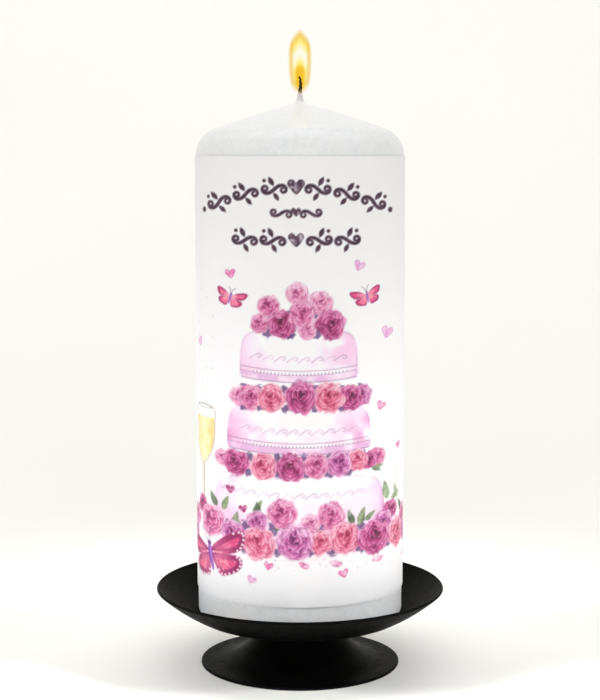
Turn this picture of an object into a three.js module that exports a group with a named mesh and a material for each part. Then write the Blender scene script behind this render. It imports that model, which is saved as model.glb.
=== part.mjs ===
// Unity candle: a pillar candle with a printed wrap, standing on the spike of a pressed-steel plate with a
// trumpet foot. Two rigid bodies: the stand (dish, foot, pricket, washer, nut) and the candle (wax, wick,
// wrap, seam tape), which lifts straight up off the spike.
//
// Millimetres, +Z up. The origin is on the candle's axis, on the surface that the foot rests on. The
// picture on the wrap faces -Y and the wrap's overlap is at the back, on +Y.

import * as THREE from "three";

// ---------------------------------------------------------------- driving dimensions

const FIT_GAP = 0.3; // left between pieces that touch on the real object
const SHEET = 1.2; // steel sheet with its powder coat

// Foot: a spun trumpet with a flat top plate and a flat land at the rim.
const FOOT_RADIUS = 38.6;
const FOOT_LAND = 4;
const NECK_RADIUS = 15.5;
const NECK_TOP = 18.2;

// Dish: flat floor, a bend, then a flared wall that curves slightly up to the rim.
const DISH_RADIUS = 56;
const DISH_RIM_HEIGHT = 30.1;
const DISH_FLOOR_RADIUS = 36;
const DISH_BEND_RADIUS = 10;
const DISH_BEND_ANGLE = 27; // slope where the bend runs into the wall, degrees

// Pricket: spike on an M5 shank, held by a washer and a nut under the foot's top plate.
const SPIKE_HEIGHT = 15;
const SPIKE_RADIUS = 4;
const SPIKE_TIP_RADIUS = 0.5;
const SHANK_RADIUS = 2.5;
const SHANK_HOLE_RADIUS = 2.9;
const SHANK_OVERHANG = 1.5; // past the nut
const WASHER = { outer: 5, inner: 2.8, height: 1 };
const NUT = { acrossFlats: 8, inner: 2.8, height: 4 };

// Candle: a moulded pillar with a rounded shoulder and a shallow cone.
const WAX_RADIUS = 39.6;
const WAX_HEIGHT = 197.5;
const WAX_BASE_EDGE = 3;
const SHOULDER_RADIUS = 11;
const CONE_SLOPE = THREE.MathUtils.degToRad(17.4);
const CONE_CROWN = 0.4; // how far the cone bulges past a straight line
const SOCKET_RADIUS = 4.5;
const SOCKET_DEPTH = 16.5;

// Wick: braided cotton, thinner and leaning where it has burnt.
const WICK_RADIUS = 1.0;
const WICK_BORE_RADIUS = 1.3;
const WICK_BURNT_RADIUS = 0.6;
const WICK_ABOVE_CONE = 10.5;
const WICK_BURNT_LENGTH = 6;
const WICK_LEAN = 0.7; // sideways reach of the burnt end

// Wrap: a printed sheet round the pillar, its ends overlapping at the back over a strip of tape.
const WRAP_RADIUS = 39.9;
const WRAP_THICKNESS = 0.2;
const WRAP_BOTTOM = 32;
const WRAP_TOP = 197;
const WRAP_OVERLAP = 5.5;
const WRAP_LIFT = 0.85; // of the outer end, clear of the tape and the inner end
const WRAP_LIFT_RUN = 5; // length over which the outer end rises
const TAPE_THICKNESS = 0.15;
const TAPE_MARGIN = 0.5; // from each edge of the overlap
const TAPE_END_MARGIN = 2; // from the wrap's top and bottom edges

// ---------------------------------------------------------------- heights worked out from those

const DISH_UNDERSIDE = NECK_TOP + FIT_GAP;
const DISH_FLOOR = DISH_UNDERSIDE + SHEET;
const SEAT = DISH_FLOOR + FIT_GAP; // the candle's base and the spike's shoulder
const APEX = SEAT + WAX_HEIGHT;
const WASHER_BOTTOM = NECK_TOP - SHEET - FIT_GAP - WASHER.height;
const NUT_BOTTOM = WASHER_BOTTOM - FIT_GAP - NUT.height;

// ---------------------------------------------------------------- helpers

const point = (r, z) => new THREE.Vector2(r, z);

// A closed ring or an axis-to-axis profile of (radius, height) points, turned about +Z. The points run
// anticlockwise, seen with the radius to the right and the height up.
function revolve(profile, segments) {
  return new THREE.LatheGeometry(profile, segments).rotateX(Math.PI / 2);
}

// Points on a circle about (r, z), from one angle to another in degrees, both ends included.
function arc(r, z, radius, from, to, steps) {
  const points = [];
  for (let i = 0; i <= steps; i += 1) {
    const angle = THREE.MathUtils.degToRad(from + ((to - from) * i) / steps);
    points.push(point(r + radius * Math.cos(angle), z + radius * Math.sin(angle)));
  }
  return points;
}

// The same line moved sideways by a distance, to the left of its direction of travel.
function offset(points, distance) {
  return points.map((p, i) => {
    const before = points[Math.max(i - 1, 0)];
    const after = points[Math.min(i + 1, points.length - 1)];
    const along = after.clone().sub(before).normalize();
    return point(p.x - along.y * distance, p.y + along.x * distance);
  });
}

function closedRing(inner, outer, bottom, top, segments) {
  const corners = [point(inner, bottom), point(outer, bottom), point(outer, top), point(inner, top)];
  return revolve([...corners, corners[0].clone()], segments);
}

function mesh(name, geometry, color, roughness, metalness) {
  const material = new THREE.MeshStandardMaterial({ color, roughness, metalness });
  const made = new THREE.Mesh(geometry, material);
  made.name = name;
  return made;
}

// ---------------------------------------------------------------- stand

function dishGeometry() {
  const bendEnd = DISH_BEND_ANGLE - 90;
  const bend = arc(
    DISH_FLOOR_RADIUS,
    DISH_UNDERSIDE + DISH_BEND_RADIUS,
    DISH_BEND_RADIUS,
    -90,
    bendEnd,
    3,
  );
  // The wall is the arc that leaves the bend along its slope and ends at the rim.
  const wallStart = bend[bend.length - 1];
  const chord = point(DISH_RADIUS, DISH_RIM_HEIGHT).sub(wallStart);
  const halfTurn = THREE.MathUtils.radToDeg(chord.angle()) - DISH_BEND_ANGLE;
  const wallRadius = chord.length() / (2 * Math.sin(THREE.MathUtils.degToRad(halfTurn)));
  const startNormal = THREE.MathUtils.degToRad(bendEnd);
  const wall = arc(
    wallStart.x - wallRadius * Math.cos(startNormal),
    wallStart.y - wallRadius * Math.sin(startNormal),
    wallRadius,
    bendEnd,
    bendEnd + 2 * halfTurn,
    4,
  ).slice(1);
  const outside = [...bend, ...wall];
  const inside = offset(outside, SHEET).reverse();
  const floorHole = point(SHANK_HOLE_RADIUS, DISH_UNDERSIDE);
  return revolve(
    [floorHole, ...outside, ...inside, point(SHANK_HOLE_RADIUS, DISH_FLOOR), floorHole.clone()],
    72,
  );
}

function footGeometry() {
  const landStart = FOOT_RADIUS - FOOT_LAND;
  const flank = new THREE.CubicBezierCurve(
    point(landStart, SHEET),
    point(25, SHEET),
    point(17.5, 8),
    point(NECK_RADIUS, NECK_TOP),
  ).getPoints(8);
  const underFlank = offset(flank, SHEET)
    .filter((p) => p.y < NECK_TOP - SHEET)
    .reverse();
  underFlank[underFlank.length - 1].set(landStart, 0);
  const plateHole = point(SHANK_HOLE_RADIUS, NECK_TOP - SHEET);
  return revolve(
    [
      plateHole,
      point(NECK_RADIUS - SHEET, NECK_TOP - SHEET),
      ...underFlank,
      point(FOOT_RADIUS, 0),
      point(FOOT_RADIUS, SHEET),
      ...flank,
      point(SHANK_HOLE_RADIUS, NECK_TOP),
      plateHole.clone(),
    ],
    64,
  );
}

function pricketGeometry() {
  const tip = SEAT + SPIKE_HEIGHT;
  return revolve(
    [
      point(0, NUT_BOTTOM - SHANK_OVERHANG),
      point(SHANK_RADIUS, NUT_BOTTOM - SHANK_OVERHANG),
      point(SHANK_RADIUS, SEAT),
      point(SPIKE_RADIUS, SEAT),
      point(SPIKE_TIP_RADIUS, tip - SPIKE_TIP_RADIUS),
      point(0, tip),
    ],
    24,
  );
}

function washerGeometry() {
  return closedRing(WASHER.inner, WASHER.outer, WASHER_BOTTOM, WASHER_BOTTOM + WASHER.height, 24);
}

function nutGeometry() {
  const corner = NUT.acrossFlats / Math.sqrt(3);
  const hexagon = new THREE.Shape();
  for (let i = 0; i < 6; i += 1) {
    const angle = (i * Math.PI) / 3;
    hexagon[i ? "lineTo" : "moveTo"](corner * Math.cos(angle), corner * Math.sin(angle));
  }
  const thread = new THREE.Path().absarc(0, 0, NUT.inner, 0, 2 * Math.PI, true);
  hexagon.holes.push(thread);
  return new THREE.ExtrudeGeometry(hexagon, {
    depth: NUT.height,
    bevelEnabled: false,
    curveSegments: 24,
  }).translate(0, 0, NUT_BOTTOM);
}

// ---------------------------------------------------------------- candle

// Height of the candle's crowned cone at a radius, inside the shoulder.
function coneHeight(r, shoulderStart) {
  return APEX - r * Math.tan(CONE_SLOPE) + CONE_CROWN * Math.sin((Math.PI * r) / shoulderStart);
}

function waxPillarGeometry() {
  const slopeDegrees = THREE.MathUtils.radToDeg(CONE_SLOPE);
  const shoulderCentre = WAX_RADIUS - SHOULDER_RADIUS;
  const coneStart = shoulderCentre + SHOULDER_RADIUS * Math.sin(CONE_SLOPE);
  const shoulderHeight =
    APEX - coneStart * Math.tan(CONE_SLOPE) - SHOULDER_RADIUS * Math.cos(CONE_SLOPE);
  const baseEdge = arc(
    WAX_RADIUS - WAX_BASE_EDGE,
    SEAT + WAX_BASE_EDGE,
    WAX_BASE_EDGE,
    -90,
    0,
    3,
  );
  const shoulder = arc(shoulderCentre, shoulderHeight, SHOULDER_RADIUS, 0, 90 - slopeDegrees, 6);
  const cone = [0.8, 0.6, 0.4, 0.2].map((part) => {
    return point(coneStart * part, coneHeight(coneStart * part, coneStart));
  });
  const socketMouth = point(SOCKET_RADIUS, SEAT);
  return revolve(
    [
      socketMouth,
      ...baseEdge,
      ...shoulder,
      ...cone,
      point(WICK_BORE_RADIUS, coneHeight(WICK_BORE_RADIUS, coneStart)),
      point(WICK_BORE_RADIUS, SEAT + SOCKET_DEPTH),
      socketMouth.clone(),
    ],
    72,
  );
}

function wickGeometry() {
  const bottom = SEAT + SOCKET_DEPTH + 1;
  const top = APEX + WICK_ABOVE_CONE;
  const burntFrom = top - WICK_BURNT_LENGTH;
  const profile = [point(0, bottom), point(WICK_RADIUS, bottom), point(WICK_RADIUS, burntFrom - 1)];
  const burntSteps = 6;
  for (let i = 0; i <= burntSteps; i += 1) {
    profile.push(point(WICK_BURNT_RADIUS, burntFrom + ((top - burntFrom) * i) / burntSteps));
  }
  profile.push(point(0, top));
  const geometry = revolve(profile, 12);
  const position = geometry.getAttribute("position");
  for (let i = 0; i < position.count; i += 1) {
    const burnt = Math.max(0, (position.getZ(i) - burntFrom) / WICK_BURNT_LENGTH);
    position.setX(i, position.getX(i) + WICK_LEAN * burnt ** 2);
  }
  return geometry;
}

// Outline of a thin sheet that follows a radius round +Z. Angles are in radians from +X.
function curledSheet(radiusAt, thickness, from, to, steps) {
  const along = (extra, i) => {
    const angle = from + ((to - from) * i) / steps;
    const radius = radiusAt(angle) + extra;
    return point(radius * Math.cos(angle), radius * Math.sin(angle));
  };
  const indices = Array.from({ length: steps + 1 }, (_, i) => i);
  const outer = indices.map((i) => along(thickness, i));
  const inner = indices.map((i) => along(0, i)).reverse();
  return new THREE.Shape([...outer, ...inner]);
}

function extrudeUp(shape, bottom, top) {
  const depth = top - bottom;
  return new THREE.ExtrudeGeometry(shape, { depth, bevelEnabled: false }).translate(0, 0, bottom);
}

const OVERLAP_ANGLE = WRAP_OVERLAP / WRAP_RADIUS;
const WRAP_START = Math.PI / 2 - OVERLAP_ANGLE / 2;

function printedWrapGeometry() {
  const end = WRAP_START + 2 * Math.PI + OVERLAP_ANGLE;
  const lifted = WRAP_START + 2 * Math.PI;
  const liftRun = WRAP_LIFT_RUN / WRAP_RADIUS;
  const radiusAt = (angle) => {
    return WRAP_RADIUS + WRAP_LIFT * THREE.MathUtils.smoothstep(angle, lifted - liftRun, lifted);
  };
  const sheet = curledSheet(radiusAt, WRAP_THICKNESS, WRAP_START, end, 94);
  return extrudeUp(sheet, WRAP_BOTTOM, WRAP_TOP);
}

function seamTapeGeometry() {
  const slack = WRAP_LIFT - WRAP_THICKNESS - TAPE_THICKNESS;
  const radius = WRAP_RADIUS + WRAP_THICKNESS + slack / 2;
  const margin = TAPE_MARGIN / WRAP_RADIUS;
  const tape = curledSheet(
    () => radius,
    TAPE_THICKNESS,
    WRAP_START + margin,
    WRAP_START + OVERLAP_ANGLE - margin,
    4,
  );
  return extrudeUp(tape, WRAP_BOTTOM + TAPE_END_MARGIN, WRAP_TOP - TAPE_END_MARGIN);
}

// ---------------------------------------------------------------- assembly

const stand = new THREE.Group();
stand.add(
  mesh("dish", dishGeometry(), 0x161715, 0.42, 0.3),
  mesh("foot", footGeometry(), 0x161715, 0.42, 0.3),
  mesh("pricket", pricketGeometry(), 0x8d9092, 0.4, 0.9),
  mesh("washer", washerGeometry(), 0x9a9c9e, 0.4, 0.9),
  mesh("nut", nutGeometry(), 0x9a9c9e, 0.4, 0.9),
);

const candle = new THREE.Group();
candle.add(
  mesh("wax_pillar", waxPillarGeometry(), 0xf2f1ec, 0.5, 0),
  mesh("wick", wickGeometry(), 0x3a332c, 0.9, 0),
  mesh("printed_wrap", printedWrapGeometry(), 0xf4f1f2, 0.45, 0),
  mesh("seam_tape", seamTapeGeometry(), 0xe6e2d8, 0.5, 0),
);

const unityCandle = new THREE.Group();
unityCandle.add(stand, candle);

export default unityCandle;
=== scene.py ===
"""The looks of a unity candle on its plate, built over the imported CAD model, which is its frame.

The origin is on the candle's axis, on the surface that the foot stands on, with +Z up. The picture on the
wrap faces -Y and the wrap's ends overlap at the back, on +Y. Shapes are worked out in millimetres, and
mesh_piece() turns them into metres.
"""

import math

import bpy
import numpy as np
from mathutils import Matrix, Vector


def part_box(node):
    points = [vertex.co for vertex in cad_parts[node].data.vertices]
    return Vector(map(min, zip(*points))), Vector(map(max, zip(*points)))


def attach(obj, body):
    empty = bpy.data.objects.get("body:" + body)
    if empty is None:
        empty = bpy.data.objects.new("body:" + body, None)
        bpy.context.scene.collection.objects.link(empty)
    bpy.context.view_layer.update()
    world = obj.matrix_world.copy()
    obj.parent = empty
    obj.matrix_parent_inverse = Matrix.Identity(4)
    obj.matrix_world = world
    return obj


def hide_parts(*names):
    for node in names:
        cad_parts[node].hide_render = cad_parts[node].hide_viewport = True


MM = 0.001

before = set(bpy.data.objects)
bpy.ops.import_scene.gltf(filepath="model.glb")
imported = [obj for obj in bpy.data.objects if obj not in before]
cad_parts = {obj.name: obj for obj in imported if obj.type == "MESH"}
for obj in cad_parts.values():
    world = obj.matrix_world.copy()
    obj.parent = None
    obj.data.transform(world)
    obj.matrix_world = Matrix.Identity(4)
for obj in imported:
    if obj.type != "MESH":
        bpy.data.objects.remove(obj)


def node_box(node):
    """Lowest and highest corners of a CAD node in millimetres."""
    low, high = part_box(node)
    return np.array(low) / MM, np.array(high) / MM


# ------------------------------------------------------------ camera

# The photo's view: about level with the candle's shoulder, 645 mm from its axis, looking a little down.
CAMERA_PLACE = (0.0, -0.645, 0.197)
CAMERA_TILT = 6.56  # degrees below the horizon
CAMERA_LENS = 86.73


def add_camera():
    data = bpy.data.cameras.new("camera")
    data.lens = CAMERA_LENS
    data.sensor_width = 36
    camera = bpy.data.objects.new("camera", data)
    camera.location = CAMERA_PLACE
    camera.rotation_euler = (math.radians(90 - CAMERA_TILT), 0, 0)
    bpy.context.collection.objects.link(camera)
    bpy.context.scene.camera = camera


# ------------------------------------------------------------ materials

class Finish:
    """A node material on one Principled shader, with short calls for its nodes."""

    def __init__(self, name):
        self.material = bpy.data.materials.new(name)
        self.material.use_nodes = True
        self.tree = self.material.node_tree
        self.shader = self.tree.nodes["Principled BSDF"]
        self.place = self.node("ShaderNodeTexCoord").outputs["Object"]

    def node(self, kind, **settings):
        made = self.tree.nodes.new(kind)
        for key, value in settings.items():
            setattr(made, key, value)
        return made

    def feed(self, socket, value):
        """Sets a socket to a number or a colour, or links it to another node's output."""
        if isinstance(value, bpy.types.NodeSocket):
            self.tree.links.new(value, socket)
        else:
            socket.default_value = value

    def set(self, **sockets):
        """Principled sockets by name, with _ for a space."""
        for name, value in sockets.items():
            self.feed(self.shader.inputs[name.replace("_", " ")], value)

    def stretched(self, x, y, z):
        """Object coordinates scaled on each axis."""
        mapping = self.node("ShaderNodeMapping")
        mapping.inputs["Scale"].default_value = (x, y, z)
        self.feed(mapping.inputs["Vector"], self.place)
        return mapping.outputs["Vector"]

    def noise(self, size, detail=3.0, roughness=0.55, place=None):
        """Noise from 0 to 1 with features about size millimetres across."""
        made = self.node("ShaderNodeTexNoise")
        self.feed(made.inputs["Vector"], place or self.place)
        made.inputs["Scale"].default_value = 1 / (size * MM)
        made.inputs["Detail"].default_value = detail
        made.inputs["Roughness"].default_value = roughness
        return made.outputs["Fac"]

    def cells(self, size):
        """Distance from the middles of cells about size millimetres across."""
        made = self.node("ShaderNodeTexVoronoi")
        self.feed(made.inputs["Vector"], self.place)
        made.inputs["Scale"].default_value = 1 / (size * MM)
        return made.outputs["Distance"]

    def spread(self, value, low, high, to_low=0.0, to_high=1.0):
        """Stretches a value from one range to another, and clamps it there."""
        made = self.node("ShaderNodeMapRange")
        self.feed(made.inputs["Value"], value)
        made.inputs["From Min"].default_value = low
        made.inputs["From Max"].default_value = high
        made.inputs["To Min"].default_value = to_low
        made.inputs["To Max"].default_value = to_high
        return made.outputs["Result"]

    def blend(self, share, a, b):
        """Colour a at 0, colour b at 1."""
        made = self.node("ShaderNodeMix", data_type="RGBA")
        self.feed(made.inputs["Factor"], share)
        colours = [s for s in made.inputs if s.type == "RGBA"]
        self.feed(colours[0], a)
        self.feed(colours[1], b)
        return next(s for s in made.outputs if s.type == "RGBA")

    def calculated(self, operation, a, b):
        made = self.node("ShaderNodeMath", operation=operation)
        self.feed(made.inputs[0], a)
        self.feed(made.inputs[1], b)
        return made.outputs[0]

    def sum(self, a, b):
        return self.calculated("ADD", a, b)

    def product(self, a, b):
        return self.calculated("MULTIPLY", a, b)

    def upward(self, vector):
        """A vector's part along Z, in metres where the vector is a place."""
        made = self.node("ShaderNodeSeparateXYZ")
        self.feed(made.inputs[0], vector)
        return made.outputs["Z"]

    def bump(self, height, depth):
        """Relief from a height of 0 to 1, depth in millimetres."""
        made = self.node("ShaderNodeBump")
        made.inputs["Distance"].default_value = depth * MM
        self.feed(made.inputs["Height"], height)
        self.feed(self.shader.inputs["Normal"], made.outputs["Normal"])


def grey(level, warmth=0.0):
    """A linear grey, a little warm or cool."""
    return (level * (1 + warmth), level, level * (1 - warmth), 1.0)


def powder_coat():
    """Satin black powder coat on steel: orange peel, a fine sparkle of dust, faint rubbing."""
    f = Finish("black_powder_coat")
    patches = f.noise(18, detail=4)
    dust = f.spread(f.noise(0.5, detail=2), 0.66, 0.78)
    upward = f.spread(f.upward(f.node("ShaderNodeNewGeometry").outputs["Normal"]), 0.75, 1.0)
    settled = f.product(dust, f.product(upward, f.spread(patches, 0.35, 0.75)))
    black = f.blend(patches, grey(0.0010, 0.06), grey(0.0022, 0.08))
    f.set(Base_Color=f.blend(settled, black, grey(0.05, 0.05)))
    rubbed = f.noise(2.6, detail=5, roughness=0.7, place=f.stretched(1, 1, 0.25))
    f.set(Roughness=f.sum(f.spread(rubbed, 0.3, 0.7, 0.42, 0.56), f.spread(settled, 0, 1, 0, 0.2)))
    f.set(Specular_IOR_Level=0.03)
    peel = f.sum(f.noise(1.1, detail=2), f.spread(f.cells(0.55), 0, 1, 0, 0.45))
    f.bump(peel, 0.035)
    return f.material


def zinc_plated():
    """Bright zinc on turned steel: tool rings, a faint blue-and-straw passivation, dull patches."""
    f = Finish("zinc_plated_steel")
    patches = f.noise(3.0, detail=4)
    tinted = f.blend(f.spread(f.noise(5.0), 0.35, 0.65), (0.60, 0.64, 0.70, 1), (0.72, 0.69, 0.58, 1))
    f.set(Base_Color=f.blend(f.spread(patches, 0.55, 0.8), tinted, grey(0.42)), Metallic=1.0)
    rings = f.noise(0.9, detail=4, place=f.stretched(0.05, 0.05, 6))
    f.set(Roughness=f.sum(f.spread(patches, 0.3, 0.8, 0.24, 0.42), f.spread(rings, 0, 1, 0, 0.08)))
    f.bump(f.sum(rings, f.noise(0.35, detail=3)), 0.02)
    return f.material


def wax(collar_from):
    """Moulded white wax: translucent, faintly mottled with frost, with a soft polish. The collar that climbs
    the wick is thin and greyer."""
    f = Finish("white_wax")
    mottle = f.noise(2.2, detail=6, roughness=0.68)
    frost = f.noise(0.55, detail=4, roughness=0.7)
    cloud = f.noise(22, detail=3)
    body = f.blend(f.spread(mottle, 0.32, 0.68), (0.705, 0.717, 0.725, 1), (0.79, 0.798, 0.80, 1))
    body = f.blend(f.spread(frost, 0.58, 0.75, 0, 0.35), body, (0.87, 0.875, 0.88, 1))
    body = f.blend(f.spread(cloud, 0.45, 0.7, 0, 0.25), body, (0.765, 0.765, 0.74, 1))
    collar = f.spread(f.upward(f.place), collar_from * MM, (collar_from + 0.7) * MM)
    f.set(Base_Color=f.blend(collar, body, (0.66, 0.65, 0.62, 1)))
    f.set(Roughness=f.spread(mottle, 0.3, 0.7, 0.27, 0.35))
    f.set(Subsurface_Weight=0.35, Subsurface_Scale=MM * 3, IOR=1.44, Specular_IOR_Level=0.42)
    f.shader.inputs["Subsurface Radius"].default_value = (1.0, 0.85, 0.7)
    f.bump(f.sum(mottle, f.spread(f.noise(9, detail=2), 0, 1, 0, 2.5)), 0.035)
    return f.material


def printed_paper():
    """The printed sheet: the picture is in the mesh's colours, over a fine paper tooth."""
    f = Finish("printed_sheet")
    picture = f.node("ShaderNodeAttribute", attribute_name="print").outputs["Color"]
    fibre = f.noise(0.7, detail=5, roughness=0.75, place=f.stretched(1, 1, 0.35))
    f.set(Base_Color=f.blend(f.spread(fibre, 0.3, 0.75, 0, 0.05), picture, grey(0.62, 0.02)))
    f.set(Roughness=f.spread(fibre, 0.25, 0.75, 0.5, 0.62), Specular_IOR_Level=0.3)
    f.bump(f.sum(fibre, f.spread(f.noise(14, detail=2), 0, 1, 0, 3.5)), 0.03)
    return f.material


def clear_tape():
    """Glossy clear tape with small trapped bubbles."""
    f = Finish("clear_tape")
    bubbles = f.spread(f.cells(1.6), 0.12, 0.3)
    f.set(Base_Color=f.blend(bubbles, (0.86, 0.85, 0.79, 1), (0.78, 0.76, 0.66, 1)))
    f.set(Roughness=f.spread(f.noise(3), 0.3, 0.7, 0.12, 0.24), Coat_Weight=0.4)
    f.set(Alpha=f.spread(bubbles, 0, 1, 0.75, 0.5))
    f.bump(bubbles, 0.03)
    return f.material


def wick_cotton(char_start, char_full):
    """Cotton yarn, waxed and greyish at its foot, and burnt black towards its tip."""
    f = Finish("wick_cotton")
    height = f.sum(f.upward(f.place), f.spread(f.noise(1.0), 0, 1, -0.5 * MM, 0.5 * MM))
    yarn = f.noise(0.12, detail=4, place=f.stretched(1, 1, 0.3))
    cotton = f.blend(f.spread(yarn, 0.3, 0.7), (0.70, 0.68, 0.62, 1), (0.86, 0.85, 0.81, 1))
    burnt = f.blend(f.spread(yarn, 0.3, 0.75), (0.006, 0.004, 0.003, 1), (0.035, 0.014, 0.008, 1))
    brown = (0.33, 0.17, 0.09, 1)
    scorched = f.blend(f.spread(height, char_start * MM, (char_start + 1.2) * MM), cotton, brown)
    f.set(Base_Color=f.blend(f.spread(height, (char_start + 0.6) * MM, char_full * MM), scorched, burnt))
    f.set(Roughness=f.spread(yarn, 0.2, 0.8, 0.65, 0.95), Specular_IOR_Level=0.2)
    f.bump(yarn, 0.08)
    return f.material


def flame_light():
    """Light and cover are in the mesh's colours. Nothing is lit or mirrored by it."""
    f = Finish("flame")
    picture = f.node("ShaderNodeAttribute", attribute_name="glow")
    f.set(Base_Color=grey(0.0), Roughness=1.0, Specular_IOR_Level=0.0, Emission_Strength=1.0)
    f.set(Emission_Color=picture.outputs["Color"], Alpha=picture.outputs["Alpha"])
    return f.material


def studio_paper():
    """The floor's matt paper, with faint broad clouds."""
    f = Finish("studio_floor")
    f.set(Base_Color=f.blend(f.noise(300, detail=2), (0.86, 0.85, 0.815, 1), (0.89, 0.88, 0.85, 1)))
    f.set(Roughness=0.9, Specular_IOR_Level=0.1)
    return f.material


# ------------------------------------------------------------ mesh helpers

def mesh_piece(name, points, faces, material, body, node, slot, sharp=38):
    """A mesh object that rides on a body in place of a CAD node. Points are in millimetres."""
    mesh = bpy.data.meshes.new(name)
    mesh.from_pydata((np.asarray(points, float) * MM).tolist(), [], faces)
    mesh.materials.append(material)
    mesh.polygons.foreach_set("use_smooth", [True] * len(mesh.polygons))
    if sharp:
        mesh.set_sharp_from_angle(angle=math.radians(sharp))
    piece = bpy.data.objects.new(name, mesh)
    bpy.context.collection.objects.link(piece)
    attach(piece, body)
    if node:
        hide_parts(node)
    return piece


def set_colours(piece, name, colours):
    """Colours with their alpha, one for each point of the piece."""
    attribute = piece.data.color_attributes.new(name, "FLOAT_COLOR", "POINT")
    attribute.data.foreach_set("color", np.asarray(colours, np.float32).ravel())


def level_normals(piece):
    """Flats stay flat beside small rounded edges."""
    modifier = piece.modifiers.new("level_normals", "WEIGHTED_NORMAL")
    modifier.keep_sharp = True


def arc(r, z, radius, start, end, steps):
    """Points on a circle about (r, z), angles in degrees, both ends included."""
    angles = np.radians(np.linspace(start, end, steps + 1))
    return np.column_stack([r + radius * np.cos(angles), z + radius * np.sin(angles)])


def offset(points, distance):
    """The line moved to the left of its direction of travel."""
    along = np.gradient(points, axis=0)
    along /= np.hypot(*along.T)[:, None]
    return points + np.column_stack([-along[:, 1], along[:, 0]]) * distance


def softened(corners, steps=4):
    """A closed ring of (r, z, fillet) corners with each corner rounded off."""
    corners = np.asarray(corners, float)
    line = []
    for before, corner, after in zip(np.roll(corners, 1, 0), corners, np.roll(corners, -1, 0)):
        middle, fillet = corner[:2], corner[2]
        if not fillet:
            line.append(middle)
            continue
        back, onwards = before[:2] - middle, after[:2] - middle
        start = middle + back / np.hypot(*back) * fillet
        end = middle + onwards / np.hypot(*onwards) * fillet
        for t in np.linspace(0, 1, steps + 1):
            line.append((1 - t) ** 2 * start + 2 * t * (1 - t) * middle + t**2 * end)
    return np.array(line)


def unrounded(line):
    """Corners for softened() that stay as they are."""
    return [(r, z, 0.0) for r, z in line]


def quads(*corners):
    """Four-sided faces from four arrays of point numbers."""
    return np.stack([corner.ravel() for corner in corners], 1)


def grid_faces(rows, columns, first=0):
    """The faces of a grid of points that are stored row by row, from the point number first on."""
    index = first + np.arange(rows * columns).reshape(rows, columns)
    return quads(index[:-1, :-1], index[:-1, 1:], index[1:, 1:], index[1:, :-1])


def turned(profile, steps, radius_at=None):
    """A closed ring of (r, z), anticlockwise with r to the right, turned about +Z into a closed skin.

    radius_at(r, z, angle) may change a point's radius. A point on the axis becomes one vertex.
    """
    angles = np.arange(steps) * 2 * math.pi / steps
    points, rings = [], []
    for r, z in profile:
        if r < 1e-6:
            rings.append([len(points)] * steps)
            points.append((0.0, 0.0, z))
            continue
        radii = np.full(steps, r) if radius_at is None else radius_at(r, z, angles)
        rings.append(list(range(len(points), len(points) + steps)))
        points.extend(zip(radii * np.cos(angles), radii * np.sin(angles), np.full(steps, z)))
    faces = []
    for low, high in zip(rings, rings[1:] + rings[:1]):
        if low[0] == low[1] and high[0] == high[1]:
            continue
        for j in range(steps):
            k = (j + 1) % steps
            corners = (low[j], low[k], high[k], high[j])
            faces.append(tuple(dict.fromkeys(corners)))
    return points, faces


# ------------------------------------------------------------ stand

STEEL = 1.2  # thickness of the dish and of the foot
SHANK_HOLE = 2.9  # radius of the hole for the pricket's shank
HOLE_FILLET = 0.15


def add_dish(coat):
    """Pressed plate: flat floor, a bend, and a flared wall that curves up to a smooth rim."""
    underside = node_box("dish")[0][2]
    floor_radius, bend_radius, bend_angle = 36.0, 10.0, 27.0
    rim, rim_fillet = np.array([56.0, 30.1]), 0.52
    bend = arc(floor_radius, underside + bend_radius, bend_radius, -90, bend_angle - 90, 8)
    start, normal = bend[-1], math.radians(bend_angle - 90)
    chord = rim - start
    half_turn = math.degrees(math.atan2(chord[1], chord[0])) - bend_angle
    wall_radius = np.hypot(*chord) / (2 * math.sin(math.radians(half_turn)))
    centre = start - wall_radius * np.array([math.cos(normal), math.sin(normal)])
    wall = arc(*centre, wall_radius, bend_angle - 90, bend_angle - 90 + 2 * half_turn, 14)[1:]
    outside = np.vstack([bend, wall])
    inside = offset(outside, STEEL)[::-1]
    corners = [(SHANK_HOLE, underside, HOLE_FILLET)] + unrounded(outside[:-1])
    corners += [(*outside[-1], rim_fillet), (*inside[0], rim_fillet)]
    corners += unrounded(inside[1:]) + [(SHANK_HOLE, underside + STEEL, HOLE_FILLET)]
    dish = mesh_piece("dish_plate", *turned(softened(corners, 6), 200), coat, "stand", "dish",
                      "black_powder_coat")
    level_normals(dish)


def add_foot(coat):
    """Spun trumpet: flat top plate, concave flank, flat brim that stands on the table."""
    high = node_box("foot")[1]
    brim, neck, top = high[0], 15.5, high[2]
    land = brim - 4.0
    ceiling = top - STEEL
    t = np.linspace(0, 1, 29)[:, None]
    ends = [np.array(p) for p in ((land, STEEL), (25.0, STEEL), (17.5, 8.0), (neck, top))]
    flank = ((1 - t) ** 3 * ends[0] + 3 * (1 - t) ** 2 * t * ends[1]
             + 3 * (1 - t) * t**2 * ends[2] + t**3 * ends[3])
    under = offset(flank, STEEL)
    under = under[under[:, 1] < ceiling - 0.4][::-1]
    under[-1] = (land, 0.0)
    brim_fillet, neck_fillet, inner_neck_fillet = 0.5, 0.8, 0.35
    corners = [(SHANK_HOLE, ceiling, HOLE_FILLET), (neck - STEEL, ceiling, inner_neck_fillet)]
    corners += unrounded(under) + [(brim, 0.0, brim_fillet), (brim, STEEL, brim_fillet)]
    corners += unrounded(flank[:-1]) + [(neck, top, neck_fillet), (SHANK_HOLE, top, HOLE_FILLET)]
    foot = mesh_piece("trumpet_foot", *turned(softened(corners, 6), 180), coat, "stand", "foot",
                      "black_powder_coat")
    level_normals(foot)


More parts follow.
